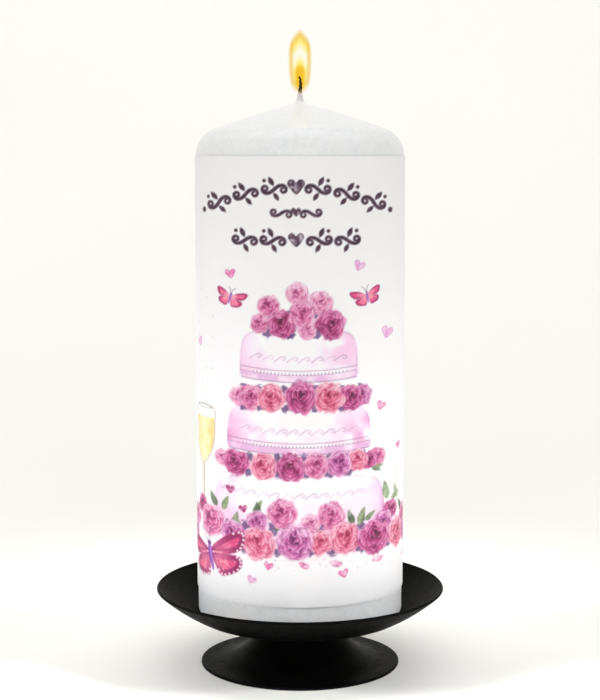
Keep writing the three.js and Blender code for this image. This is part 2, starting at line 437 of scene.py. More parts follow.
def add_pricket(zinc):
    """Spike on a threaded shank, with a flange that seats on the dish."""
    low, high = node_box("pricket")
    bottom, tip = low[2], high[2]
    spike, shank, flange, tip_radius = 15.0, 2.5, 4.0, 0.5
    pitch, thread_depth, ring_depth = 0.8, 0.42, 0.012
    seat = tip - spike
    thread_top = seat - 2.6
    profile = [(0, bottom), (shank - 0.75, bottom), (shank - 0.3, bottom + 0.25)]
    profile += [(shank, z) for z in np.arange(bottom + 0.5, thread_top, 0.1)]
    profile += [(shank, thread_top + 0.3), (shank, seat - 0.02), (flange - 0.25, seat), (flange, seat + 0.22)]
    cone_foot, cone_height, hollow = flange - 0.07, spike - 1.1, 0.35
    profile += [(cone_foot - (cone_foot - tip_radius) * part,
                 seat + 0.6 + cone_height * part - hollow * math.sin(math.pi * part))
                for part in np.linspace(0, 1, 26)]
    profile += arc(0, tip - tip_radius - 0.02, tip_radius, 10, 90, 6)[:-1].tolist() + [(0, tip)]

    def threaded(r, z, angles):
        if r != shank or z >= thread_top:
            ring = ring_depth * math.sin(z * 14) if z > seat else 0.0
            return np.full(len(angles), r + ring)
        phase = (z / pitch - angles / (2 * math.pi)) % 1
        return r - thread_depth * (1 - np.abs(2 * phase - 1)) ** 1.1

    mesh_piece("spike_and_shank", *turned(profile, 64, threaded), zinc, "stand", "pricket",
               "zinc_plated_steel", sharp=60)


M5_HOLE = 2.8  # radius of the hole in the washer and in the nut


def add_washer(zinc):
    low, high = node_box("washer")
    outer, bottom, top = high[0], low[2], high[2]
    corners = [(M5_HOLE, bottom, 0.1), (outer, bottom, 0.22), (outer, top, 0.3), (M5_HOLE, top, 0.1)]
    washer = mesh_piece("washer_plain", *turned(softened(corners), 72), zinc, "stand", "washer",
                        "zinc_plated_steel")
    level_normals(washer)


def add_nut(zinc):
    """Hexagon nut with both faces chamfered and its bore countersunk."""
    low, high = node_box("nut")
    bottom, top = low[2], high[2]
    flat, sink, chamfer = 4.0, 0.4, 30
    face = flat * 0.96
    profile = [(M5_HOLE, bottom + sink), (M5_HOLE + sink, bottom), (face, bottom), (flat, bottom),
               (flat, top), (face, top), (M5_HOLE + sink, top), (M5_HOLE, top - sink)]
    points, faces = turned(profile, 72)
    points = np.array(points)
    reach = np.hypot(points[:, 0], points[:, 1])
    angle = np.arctan2(points[:, 1], points[:, 0]) % (math.pi / 3) - math.pi / 6
    outline = reach > face + 0.01
    across = flat / np.cos(angle[outline])
    points[outline, :2] *= (across / reach[outline])[:, None]
    drop = (across - face) * math.tan(math.radians(chamfer))
    points[outline, 2] -= np.sign(points[outline, 2] - (bottom + top) / 2) * drop
    nut = mesh_piece("hex_nut", points, faces, zinc, "stand", "nut", "zinc_plated_steel", sharp=25)
    level_normals(nut)


# ------------------------------------------------------------ candle

WAX_RADIUS = 39.6
WAX_HEIGHT = 197.5  # from the base to the cone's tip
CONE_SLOPE = math.radians(17.4)
CONE_CROWN = 0.4  # how far the cone swells above a straight one
SHOULDER_RADIUS = 11.0
BASE_FILLET = 3.0
SOCKET_DEPTH = 16.5
BORE_RADIUS = 0.86


def add_wax(material):
    """Moulded pillar: rounded base edge, straight side, rounded shoulder, shallow cone, and a small
    collar of wax that climbs the wick. Below are the bore for the wick and the socket for the spike."""
    base = node_box("wax_pillar")[0][2]
    apex, socket, collar = base + WAX_HEIGHT, base + SOCKET_DEPTH, base + WAX_HEIGHT + 0.15
    centre = WAX_RADIUS - SHOULDER_RADIUS
    cone_start = centre + SHOULDER_RADIUS * math.sin(CONE_SLOPE)
    level = apex - cone_start * math.tan(CONE_SLOPE) - SHOULDER_RADIUS * math.cos(CONE_SLOPE)
    profile = [(0, socket), (0.9, socket - 0.3)]
    profile += [(0.9 + 3.6 * t, socket - 0.3 - 15.9 * t) for t in np.linspace(0.1, 1, 12)]
    profile += [(4.8, base), (12.0, base), (20.0, base + 0.25), (30.0, base + 0.25), (34.0, base)]
    profile += arc(WAX_RADIUS - BASE_FILLET, base + BASE_FILLET, BASE_FILLET, -90, 0, 10).tolist()
    profile += [(WAX_RADIUS, z) for z in np.linspace(base + 5, level - 2, 60)]
    profile += arc(centre, level, SHOULDER_RADIUS, 0, 90 - math.degrees(CONE_SLOPE), 22).tolist()
    profile += [(r, apex - r * math.tan(CONE_SLOPE) + CONE_CROWN * math.sin(math.pi * r / cone_start))
                for r in np.linspace(cone_start - 1, 3.0, 34)]
    profile += [(2.0, collar - 0.5), (1.55, collar), (1.25, collar + 0.7), (1.03, collar + 1.6)]
    profile += [(0.97, collar + 2.2), (0.91, collar + 2.4), (BORE_RADIUS, collar + 2.2)]
    profile += [(BORE_RADIUS, socket + 0.9), (0, socket + 0.9)]

    def cast(r, z, angles):
        """Very slight waves, as a mould and cooling leave them."""
        if r < 6 or z < base + 0.3:
            return np.full(len(angles), r)
        wave = np.sin(3 * angles + z / 31) + 0.6 * np.sin(5 * angles - z / 17)
        wave += 0.4 * np.sin(z / 6 + 2 * angles)
        return r + 0.035 * wave

    mesh_piece("wax_body", *turned(profile, 240, cast), material, "candle", "wax_pillar", "wax", sharp=45)


def add_wick(material):
    """Three yarns braided round each other. The top is burnt thin and a little bent."""
    low, high = node_box("wick")
    start, end = low[2], high[2] - 0.9
    bare_from, burnt_from = 212, 221.3  # it shows above the wax from a little over the first height
    braid_pitch, strands, sides = 4.4, 3, 8
    heights = np.concatenate([np.arange(start, bare_from, 0.5), np.arange(bare_from, end, 0.16), [end]])
    round_yarn = (2 * math.pi * np.arange(sides) / sides)[:, None]
    points, faces = [], []
    for strand in range(strands):
        phase = 2 * math.pi * (heights / braid_pitch + strand / strands)
        burnt = np.clip((heights - burnt_from) / (end - burnt_from), 0, 1)
        swing = 0.44 - 0.2 * burnt**0.7
        line = np.column_stack([
            swing * np.sin(phase) + 0.28 * np.sin(math.pi * burnt) - 0.22 * burnt**2,
            0.62 * swing * np.sin(2 * phase) + 0.15 * burnt,
            heights,
        ])
        rough = 0.05 * burnt * np.sin(heights * (23 + 7 * strand) + strand)
        thick = (0.38 - 0.12 * burnt) * np.clip((end + 0.05 - heights) / 0.5, 0.1, 1) ** 0.5 + rough
        along = np.gradient(line, axis=0)
        along /= np.linalg.norm(along, axis=1)[:, None]
        across = np.cross(along, (0, 1, 0))
        across /= np.linalg.norm(across, axis=1)[:, None]
        third = np.cross(along, across)
        outwards = across[:, None] * np.cos(round_yarn) + third[:, None] * np.sin(round_yarn)
        rings = line[:, None] + thick[:, None, None] * outwards
        number = strand * len(heights) * sides + np.arange(len(heights) * sides).reshape(-1, sides)
        beside = np.roll(number, -1, 1)
        points.append(rings.reshape(-1, 3))
        faces += quads(number[:-1], number[1:], beside[1:], beside[:-1]).tolist()
        faces += [number[0].tolist(), number[-1, ::-1].tolist()]
    mesh_piece("braided_wick", np.vstack(points), faces, material, "candle", "wick", "wick_cotton", sharp=0)


SHEET_RADIUS = 39.78  # of the printed sheet's inner face
SHEET_THICKNESS = 0.18
OVERLAP = 5.5
SEAM_LIFT = 0.42  # how far the sheet's outer end stands off, over the last SEAM_RISE before the overlap
SEAM_RISE = 5.0
FRONT_ANGLE = 62  # degrees to each side of -Y that have the fine grid
PAPER_REFLECTS = 0.93  # darkens the painter's colours a little, because the studio light is strong
FINE, COARSE, MARGIN = 0.36, 0.8, 1.0  # spacing of the grid's points


def spaced(*stops):
    """Places along a line: stops are (place, spacing from there on), the last with no spacing."""
    places = [stops[0][0]]
    for (start, spacing), (end, _) in zip(stops[:-1], stops[1:]):
        count = max(1, round((end - start) / spacing))
        places += list(np.linspace(start, end, count + 1)[1:])
    return np.array(places)


def picture_across(along, radius):
    """From millimetres along the sheet to the painter's u.

    On the front, u is the width as seen from the front, so that round shapes look round there. From 52
    degrees to 85 it goes over to millimetres along the sheet.
    """
    front, turned_full = 52.0, 85.0
    degrees = np.linspace(0, 200, 4001)
    angle = np.radians(degrees)
    share = np.clip((degrees - front) / (turned_full - front), 0, 1)
    share = share * share * (3 - 2 * share)
    edge = math.cos(math.radians(front))
    slope = np.where(degrees < front, np.cos(angle), edge + (1 - edge) * share)
    seen = np.concatenate([[0], np.cumsum((slope[1:] + slope[:-1]) / 2 * np.diff(angle))]) * radius
    return np.sign(along) * np.interp(np.abs(along) / radius, angle, seen)


def linear(rgb):
    """From sRGB to the renderer's linear colours."""
    rgb = np.clip(rgb, 0, 1)
    return np.where(rgb <= 0.04045, rgb / 12.92, ((rgb + 0.055) / 1.055) ** 2.4)


def add_wrap(material):
    """The printed sheet, with its picture in the mesh's own colours."""
    low, high = node_box("printed_wrap")
    bottom, top = low[2], high[2]
    half = math.pi * SHEET_RADIUS + OVERLAP / 2
    front = math.radians(FRONT_ANGLE) * SHEET_RADIUS
    along = spaced((-half, COARSE), (-front, FINE), (front, COARSE), (half, None))
    up = spaced((bottom, MARGIN), (bottom + 8, FINE), (top - 7, MARGIN), (top, None))
    angle = along / SHEET_RADIUS - math.pi / 2
    rise = np.clip((along - (half - OVERLAP - SEAM_RISE)) / SEAM_RISE, 0, 1)
    lifted = SHEET_RADIUS + SEAM_LIFT * rise * rise * (3 - 2 * rise)
    columns, rows = len(along), len(up)
    outer = np.empty((rows, columns, 3))
    outer[..., 0] = (lifted + SHEET_THICKNESS) * np.cos(angle)
    outer[..., 1] = (lifted + SHEET_THICKNESS) * np.sin(angle)
    outer[..., 2] = up[:, None]
    inner = np.array([[(r * math.cos(a), r * math.sin(a), z) for r, a in zip(lifted, angle)]
                      for z in (bottom, top)])
    points = np.vstack([outer.reshape(-1, 3), inner.reshape(-1, 3)])
    count = rows * columns
    index = np.arange(count).reshape(rows, columns)
    under, over = count + np.arange(columns), count + columns + np.arange(columns)
    skin = grid_faces(rows, columns)
    lining = quads(under[1:], under[:-1], over[:-1], over[1:])
    foot = quads(under[:-1], under[1:], index[0, 1:], index[0, :-1])
    head = quads(index[-1, :-1], index[-1, 1:], over[1:], over[:-1])
    ends = [tuple(index[::-1, 0]) + (under[0], over[0]), tuple(index[:, -1]) + (over[-1], under[-1])]
    faces = np.vstack([skin, lining, foot, head]).tolist()
    faces += [tuple(int(i) for i in end) for end in ends]
    wrap = mesh_piece("printed_sheet", points, faces, material, "candle", "printed_wrap", "printed_sheet")

    sheet = Print(picture_across(along, SHEET_RADIUS), up, seed=7)
    paint_picture(sheet)
    colours = np.ones((len(points), 4))
    colours[:, :3] = linear(np.array(PAPER)) * PAPER_REFLECTS
    colours[:count, :3] = linear(sheet.rgb).reshape(-1, 3) * PAPER_REFLECTS
    set_colours(wrap, "print", colours)

    # The outer face fills nearly all of the map; the lining and the edges share a strip under it.
    strip, margin = 0.02, 0.03
    share_x = (along - along[0]) / (along[-1] - along[0])
    share_y = margin + (1 - margin) * (up - bottom) / (top - bottom)
    flat = np.zeros((len(points), 2))
    flat[:count, 0] = np.tile(share_x, rows)
    flat[:count, 1] = np.repeat(share_y, columns)
    flat[count:, 0] = np.tile(share_x, 2)
    flat[count:, 1] = np.repeat((0.0, strip / 2), columns)
    uv = flat[np.vstack([skin, lining, foot, head]).ravel()]
    edges = slice((len(skin) + len(lining)) * 4, None)
    uv[edges, 1] = np.tile((strip * 0.6, strip * 0.6, strip, strip), len(foot) + len(head))
    tail = [np.column_stack([np.linspace(0, 1, len(end)), np.full(len(end), strip * 1.2)]) for end in ends]
    layer = wrap.data.uv_layers.new(name="OFBake")
    layer.data.foreach_set("uv", np.vstack([uv, *tail]).ravel())


def add_tape(material):
    """A strip of clear tape between the sheet's two ends, its own ends cut in small teeth."""
    low, high = node_box("seam_tape")
    radius = SHEET_RADIUS + SHEET_THICKNESS + 0.06
    thickness, half, tooth = 0.08, OVERLAP / 2 - 0.5, 0.45
    columns, rows = 21, 120
    angle = math.pi / 2 + np.linspace(-half, half, columns) / radius
    heights = np.repeat(np.linspace(low[2], high[2], rows), columns).reshape(rows, columns)
    heights[0, 1::2] += tooth
    heights[-1, 1::2] -= tooth
    points = [
        np.column_stack([np.tile(r * np.cos(angle), rows), np.tile(r * np.sin(angle), rows), heights.ravel()])
        for r in (radius, radius + thickness)
    ]
    count = rows * columns
    index = np.arange(count).reshape(rows, columns)
    rim = np.concatenate([index[0], index[1:, -1], index[-1, -2::-1], index[-2:0:-1, 0]])
    onwards = np.roll(rim, -1)
    faces = np.vstack([grid_faces(rows, columns)[:, ::-1], grid_faces(rows, columns, count),
                       quads(onwards, onwards + count, rim + count, rim)]).tolist()
    mesh_piece("seam_tape_strip", np.vstack(points), faces, material, "candle", "seam_tape", "clear_tape")


# ------------------------------------------------------------ flame

FLAME_INKS = {
    "ash": (226, 218, 206), "peach": (232, 190, 132), "amber": (246, 196, 44), "honey": (246, 208, 96),
    "butter": (255, 230, 118), "straw": (255, 245, 172), "ivory": (254, 252, 228), "gold": (243, 217, 140),
    "pale": (250, 236, 190), "halo": (253, 244, 218),
}
# From the wick up: height, half width, then the inks of the middle, the flank, the rim and the outer glow.
FLAME = (
    (219.4, 1.1, "ash", "ash", "halo", "halo"),
    (221.0, 2.4, "peach", "pale", "halo", "halo"),
    (222.6, 3.3, "honey", "gold", "pale", "halo"),
    (224.5, 3.95, "amber", "honey", "gold", "halo"),
    (226.5, 4.4, "amber", "butter", "gold", "halo"),
    (228.7, 4.65, "amber", "butter", "gold", "halo"),
    (230.3, 4.75, "amber", "straw", "gold", "halo"),
    (231.6, 4.8, "butter", "ivory", "gold", "halo"),
    (233.0, 4.8, "straw", "ivory", "gold", "halo"),
    (235.0, 4.75, "ivory", "ivory", "gold", "halo"),
    (237.0, 4.55, "ivory", "straw", "honey", "pale"),
    (239.0, 4.2, "straw", "butter", "honey", "pale"),
    (240.6, 3.65, "butter", "honey", "gold", "halo"),
    (242.0, 2.95, "honey", "gold", "pale", "halo"),
    (243.4, 1.95, "gold", "pale", "halo", "halo"),
    (244.6, 0.3, "halo", "halo", "halo", "halo"),
)
FLAME_BANDS = (0.0, 0.28, 0.46, 0.64, 0.78, 0.93, 1.0)  # shares of the half width
FLAME_BAND_INKS = (0, 0, 1, 2, 2, 3, 3)  # middle, middle, flank, rim, rim, glow, glow
FLAME_DOME = 13.0  # how much higher, in millimetres, for a place at the full half width
FLAME_SEETHROUGH_TO = 223.2  # below this height the flame clears towards the wick's foot
BLADE_HALF_THICKNESS = 0.02


def add_flame(material):
    """Two thin blades crossed on the axis, each with the flame's picture: white core, golden rim, and an
    amber hollow round the wick. It is as wide from the front as from the side."""
    keys = np.array([row[:2] for row in FLAME])
    inks = np.array([[FLAME_INKS[ink] for ink in row[2:]] for row in FLAME]) / 255
    heights = np.linspace(keys[0, 0], keys[-1, 0], 150)
    half = np.interp(heights, keys[:, 0], keys[:, 1])
    half = np.convolve(np.pad(half, 3, mode="edge"), np.ones(7) / 7, "valid")
    across = np.linspace(-1, 1, 61)
    out = np.abs(across)
    picture = np.empty((len(heights), len(across), 3))
    for j, part in enumerate(out):
        # The hollow round the wick has a domed top: off the middle, its inks are those of a higher place.
        domed = heights + FLAME_DOME * min(part, FLAME_BANDS[2]) ** 2
        for channel in range(3):
            bands = [np.interp(heights if ink else domed, keys[:, 0], inks[:, ink, channel])
                     for ink in FLAME_BAND_INKS]
            picture[:, j, channel] = [np.interp(part, FLAME_BANDS, column) for column in zip(*bands)]
    cover_out = np.interp(out, (0, 0.80, 0.92, 1.0), (1.0, 0.97, 0.6, 0.0))
    cover_up = np.clip((heights - keys[0, 0]) / (FLAME_SEETHROUGH_TO - keys[0, 0]), 0, 1) ** 0.8
    cover_up *= np.clip((keys[-1, 0] + 0.2 - heights) / 1.2, 0, 1) ** 0.5
    solid = np.minimum(np.outer(cover_up, cover_out), 0.995)
    # A ray crosses two skins, and together they cover as much as solid says.
    skin_colours = np.dstack([linear(picture), 1 - np.sqrt(1 - solid)]).reshape(-1, 4)
    wide = (across * half[:, None]).ravel()
    thick = np.tile(BLADE_HALF_THICKNESS * (1 - out * out), len(heights))
    tall = np.repeat(heights, len(across))
    points, faces = [], []
    for blade in range(2):
        for face in (-1, 1):
            quad = grid_faces(len(heights), len(across), len(points) * len(wide))
            faces.append(quad if (face < 0) == (blade == 0) else quad[:, ::-1])
            flat = (wide, face * thick) if blade == 0 else (face * thick, wide)
            points.append(np.column_stack([*flat, tall]))
    faces = np.vstack(faces).tolist()
    flame = mesh_piece("flame_glow", np.vstack(points), faces, material, "candle", None, "flame", sharp=0)
    set_colours(flame, "glow", np.tile(skin_colours, (len(points), 1)))
    flame.visible_shadow = False


# ------------------------------------------------------------ the printed picture
# The picture is painted by formula on the grid of the wrap's own vertices. Across, it uses u: millimetres
# from the picture's middle, as they look from the front. Up, it uses z: millimetres above the table. In the
# functions below, p is the Print that they paint on.

# Colours from here on are sRGB, from 0 to 1.
PAPER = (0.945, 0.943, 0.948)
PLUM = np.array([0.20, 0.08, 0.17])
ROSE_INKS = {  # lip, body, fold
    "blush": ((0.94, 0.83, 0.89), (0.90, 0.58, 0.73), (0.66, 0.24, 0.46)),
    "pink": ((0.94, 0.75, 0.85), (0.85, 0.42, 0.62), (0.52, 0.11, 0.33)),
    "coral": ((0.94, 0.77, 0.83), (0.88, 0.42, 0.56), (0.60, 0.11, 0.27)),
    "deep": ((0.90, 0.58, 0.75), (0.70, 0.20, 0.46), (0.34, 0.04, 0.22)),
    "mauve": ((0.93, 0.74, 0.87), (0.77, 0.37, 0.63), (0.42, 0.10, 0.35)),
}


def srgb(*levels):
    """A colour given as sRGB bytes, from 0 to 1."""
    return np.array(levels) / 255.0


def mixed(a, b, share):
    """Colour a moved towards colour b, by a number or by an array of shares."""
    a, b = np.asarray(a, float), np.asarray(b, float)
    return a + (b - a) * np.asarray(share)[..., None]


def ramp(low, middle, high, share):
    """low at 0, middle at a half and high at 1."""
    share = np.clip(share, 0, 1)
    return mixed(mixed(low, middle, np.minimum(share * 2, 1)), high, np.maximum(share * 2 - 1, 0))


def within(distance, blur):
    """1 inside an edge, 0 outside, and soft across it."""
    return np.clip(0.5 - distance / blur, 0, 1)


def spline(before, start, end, beyond, per_side):
    """Smooth curves from each start towards its end, as the points before and beyond bend them."""
    t = (np.arange(per_side) / per_side)[None, :, None]
    a, b, c, d = (points[:, None] for points in (before, start, end, beyond))
    curve = 2 * b + (c - a) * t + (2 * a - 5 * b + 4 * c - d) * t**2 + (3 * b - a - 3 * c + d) * t**3
    return (curve / 2).reshape(-1, 2)


def rounded(points, per_side=6):
    """A closed smooth line through the points."""
    points = np.asarray(points, float)
    return spline(*(np.roll(points, shift, 0) for shift in (1, 0, -1, -2)), per_side)


def open_curve(points, per_side=8):
    """A smooth line from the first point to the last."""
    points = np.asarray(points, float)
    line = np.vstack([2 * points[0] - points[1], points, 2 * points[-1] - points[-2]])
    return np.vstack([spline(line[:-3], line[1:-2], line[2:-1], line[3:], per_side), points[-1:]])


def from_segment(u, z, start, end):
    """For each place, how far along a segment its nearest point is, from 0 to 1, and how far off."""
    (u0, z0), (u1, z1) = start, end
    du, dz = u1 - u0, z1 - z0
    t = np.clip(((u - u0) * du + (z - z0) * dz) / (du * du + dz * dz + 1e-12), 0, 1)
    return t, np.hypot(u - u0 - t * du, z - z0 - t * dz)


def placed(points, u, z, size=1.0, turn=0.0, flip=1):
    """Points of a unit drawing turned by degrees, sized in millimetres and put at (u, z)."""
    points = np.asarray(points, float) * (flip, 1) * size
    c, s = math.cos(math.radians(turn)), math.sin(math.radians(turn))
    return points @ np.array([[c, s], [-s, c]]) + (u, z)


INK_BLUR = 0.42  # millimetres over which an edge goes from ink to paper
PETAL_RINGS = (  # distance from the middle, number of petals, their size
    (0.58, 5, 0.42), (0.47, 5, 0.37), (0.34, 4, 0.31), (0.22, 3, 0.24), (0.11, 3, 0.16),
)
# Outlines of unit drawings, for placed(). The wings are those of the right side.
LEAF = ((0, 0), (0.28, 0.19), (0.62, 0.17), (1, 0.0), (0.62, -0.15), (0.28, -0.2))
PETAL = ((-1, 0.1), (-0.3, 0.5), (0.6, 0.4), (1, 0), (0.4, -0.45), (-0.5, -0.35))
HEART = (
    (0, 0.32), (0.22, 0.52), (0.5, 0.5), (0.62, 0.22), (0.42, -0.12), (0.02, -0.52),
    (-0.4, -0.14), (-0.62, 0.2), (-0.5, 0.5), (-0.22, 0.52),
)
UPPER_WING = (
    (0.05, 0.06), (0.25, 0.27), (0.62, 0.46), (1.00, 0.54), (1.12, 0.43), (1.02, 0.17), (0.82, 0.0),
    (0.40, -0.04),
)
LOWER_WING = (
    (0.05, -0.02), (0.45, -0.05), (0.79, -0.13), (0.86, -0.30), (0.72, -0.50), (0.42, -0.60), (0.18, -0.60),
    (0.08, -0.32),
)
FLUTE = (
    (-5.2, 0), (-6.1, -6), (-5.6, -14), (-3.2, -19.5), (-0.7, -22.0), (0.7, -22.0),
    (3.2, -19.5), (5.6, -14), (6.1, -6), (5.2, 0),
)


class Print:
    """Colours on a grid of places, u across and z up, and the brushes that lay ink on them."""

    def __init__(self, u, z, seed):
        self.u, self.z = u, z
        self.rng = np.random.default_rng(seed)
        self.rgb = np.empty((len(z), len(u), 3))
        self.rgb[:] = PAPER
        self.fine, self.middle, self.broad = (self.cloud(size) for size in (0.9, 3.5, 13.0))

    def cloud(self, size):
        """Smooth noise from -1 to 1 over the whole sheet, its blots about size millimetres."""
        across = (self.u - self.u[0]) / size
        up = (self.z - self.z[0]) / size
        lattice = self.rng.uniform(-1, 1, (int(up[-1]) + 3, int(across[-1]) + 3))

        def blended(values, at):
            whole = at.astype(int)
            part = at - whole
            part = part * part * (3 - 2 * part)
            return values[whole] * (1 - part)[:, None] + values[whole + 1] * part[:, None]

        return blended(blended(lattice, up).T, across).T

    def patch(self, u, z, reach, reach_up=None):
        """The grid's slice round a place, and the u and z of its points."""
        reach_up = reach_up or reach
        i = np.searchsorted(self.u, (u - reach, u + reach))
        j = np.searchsorted(self.z, (z - reach_up, z + reach_up))
        where = (slice(*j), slice(*i))
        return where, *np.meshgrid(self.u[slice(*i)], self.z[slice(*j)])

    def patch_of(self, points, margin=1.5):
        """The same round a line of points."""
        low, high = points.min(0) - margin, points.max(0) + margin
        return self.patch(*(low + high) / 2, *(high - low) / 2)

    def shape(self, outline):
        """The same round a closed outline, and each place's distance to it, negative inside."""
        where, u, z = self.patch_of(outline)
        inside = np.zeros(u.shape, bool)
        nearest = np.full(u.shape, np.inf)
        for (u0, z0), (u1, z1) in zip(outline, np.roll(outline, -1, 0)):
            nearest = np.minimum(nearest, from_segment(u, z, (u0, z0), (u1, z1))[1])
            crossing = (z0 > z) != (z1 > z)
            inside ^= crossing & (u < u0 + (z - z0) * (u1 - u0) / (z1 - z0 or 1e-12))
        return where, u, z, np.where(inside, -nearest, nearest)

    def lay(self, where, colour, cover):
        """Ink of a colour over the paper, as dense as cover says."""
        self.rgb[where] += (colour - self.rgb[where]) * cover[..., None]

    def tint(self, where, colour, cover):
        """A transparent wash, which darkens what it crosses."""
        self.rgb[where] *= 1 - (1 - np.asarray(colour)) * cover[..., None]

    def stroke(self, points, width, colour, density=1.0, taper=0.0):
        """A brush line along the points. taper thins both its ends."""
        points = np.asarray(points, float)
        where, u, z = self.patch_of(points, 1.0 + width)
        gap = np.full(u.shape, np.inf)
        for k, (start, end) in enumerate(zip(points[:-1], points[1:])):
            t, off = from_segment(u, z, start, end)
            part = (k + t) / (len(points) - 1)
            gap = np.minimum(gap, off - width / 2 * (1 - taper * (2 * part - 1) ** 2))
        cover = within(gap, INK_BLUR) * density * (1 + 0.12 * self.fine[where])
        self.lay(where, colour, np.clip(cover, 0, 1))

    def dot(self, u, z, radius, colour, density=1.0):
        """A round touch of the brush."""
        where, across, up = self.patch(u, z, radius + 1)
        self.lay(where, colour, within(np.hypot(across - u, up - z) - radius, INK_BLUR) * density)

    def rose(self, u, z, radius, ink, lean):
        """Rings of overlapping petals, outermost first, round a dark coiled heart that leans off centre."""
        rng = self.rng
        lip, body, fold = (np.array(c) for c in ROSE_INKS[ink])
        where, across, up = self.patch(u, z, 1.35 * radius)
        x = (across - u) / radius + 0.13 * self.middle[where]
        y = (up - z) / radius + 0.11 * self.fine[where]
        turn = rng.uniform(0, 2 * math.pi)
        blur = INK_BLUR / radius
        shade = 1 - 0.22 * np.clip(-y - 0.2 * x, -1, 1)
        for reach, count, size in PETAL_RINGS:
            inwards = 1 - reach / PETAL_RINGS[0][0]
            middle_x, middle_y = lean[0] * inwards, lean[1] * inwards
            turn += math.pi / count * rng.uniform(0.7, 1.3)
            for k in rng.permutation(count):
                angle = turn + 2 * math.pi * k / count + rng.normal(0, 0.12)
                c, s = math.cos(angle), math.sin(angle)
                px, py = x - middle_x - reach * c, y - middle_y - reach * s
                along = (px * c + py * s) / size
                side = (py * c - px * s) / (size * rng.uniform(1.25, 1.6))
                gap = np.sqrt(along**2 + side**2) - 1 + 0.10 * np.cos(3 * side + k)
                # The petal's soft shadow comes first, then the petal, and then its pale lip.
                self.lay(where, fold, within(gap - 0.10, 0.36) * (0.42 if inwards else 0.2))
                outwards = np.clip(along * 0.5 + 0.5, 0, 1)
                tone = outwards**1.25 * shade - 0.22 * inwards + 0.16 * self.fine[where]
                colour = ramp(fold, body, lip, tone)
                self.lay(where, colour, within(gap, blur / size) * 0.93)
                edge = np.abs(gap + 0.13) - 0.06
                self.lay(where, lip, within(edge, 0.2) * np.clip(along, 0, 1) * 0.75)
        # The heart is a dark spiral over the innermost petals.
        coil_x, coil_y = x - lean[0], y - lean[1]
        out = np.hypot(coil_x, coil_y)
        wound = np.arctan2(coil_y, coil_x) + turn
        coil = np.cos(wound - 30 * out) * within(out - 0.2, 0.12)
        self.lay(where, fold * 0.82, np.clip(coil, 0, 1) * 0.8)

    def leaf(self, u, z, length, turn, dark=False):
        """A pointed leaf from its stem at (u, z), with a pale rib."""
        where, _, _, gap = self.shape(placed(rounded(LEAF), u, z, length, turn))
        ink = srgb(62, 92, 52) if dark else srgb(112, 142, 82)
        tone = 0.5 + 0.5 * self.middle[where] + 0.35 * self.fine[where]
        colour = mixed(ink * 0.72, mixed(ink, PAPER, 0.35), np.clip(tone, 0, 1))
        self.lay(where, colour, within(gap, 0.5) * 0.92)
        rib = placed([(0.05, 0), (0.9, 0.02)], u, z, length, turn)
        self.stroke(rib, 0.22, mixed(ink, PAPER, 0.55), 0.7)

    def heart(self, u, z, size, colour, turn=0.0):
        """A watercolour heart, darker at its edge."""
        where, _, _, gap = self.shape(placed(rounded(HEART, 5), u, z, size, turn))
        wash = mixed(colour, PAPER, np.clip(0.22 + 0.5 * self.fine[where], 0, 0.7))
        self.lay(where, wash, within(gap, 0.4) * 0.9)
        self.lay(where, np.asarray(colour) * 0.86, within(np.abs(gap + 0.15) - 0.12, 0.3) * 0.55)

    def petal(self, u, z, size, ink, turn):
        """A fallen petal: a cupped oval with a darker fold."""
        lip, body, fold = ROSE_INKS[ink]
        where, _, _, gap = self.shape(placed(rounded(PETAL), u, z, size, turn))
        tone = 0.75 + 0.5 * self.fine[where] - 0.5 * within(np.abs(gap + 0.3) - 0.1, 0.5)
        self.lay(where, ramp(fold, body, lip, tone), within(gap, 0.5) * 0.85)

    def specks(self, count, us, zs, colours, sizes):
        """Spatter: dots of any of the colours between two places across, two heights and two sizes."""
        for _ in range(count):
            u, z = self.rng.uniform(*us), self.rng.uniform(*zs)
            colour = colours[self.rng.integers(len(colours))]
            self.dot(u, z, self.rng.uniform(*sizes), colour, self.rng.uniform(0.3, 0.8))


# ------------------------------------------------------------ butterflies and glasses

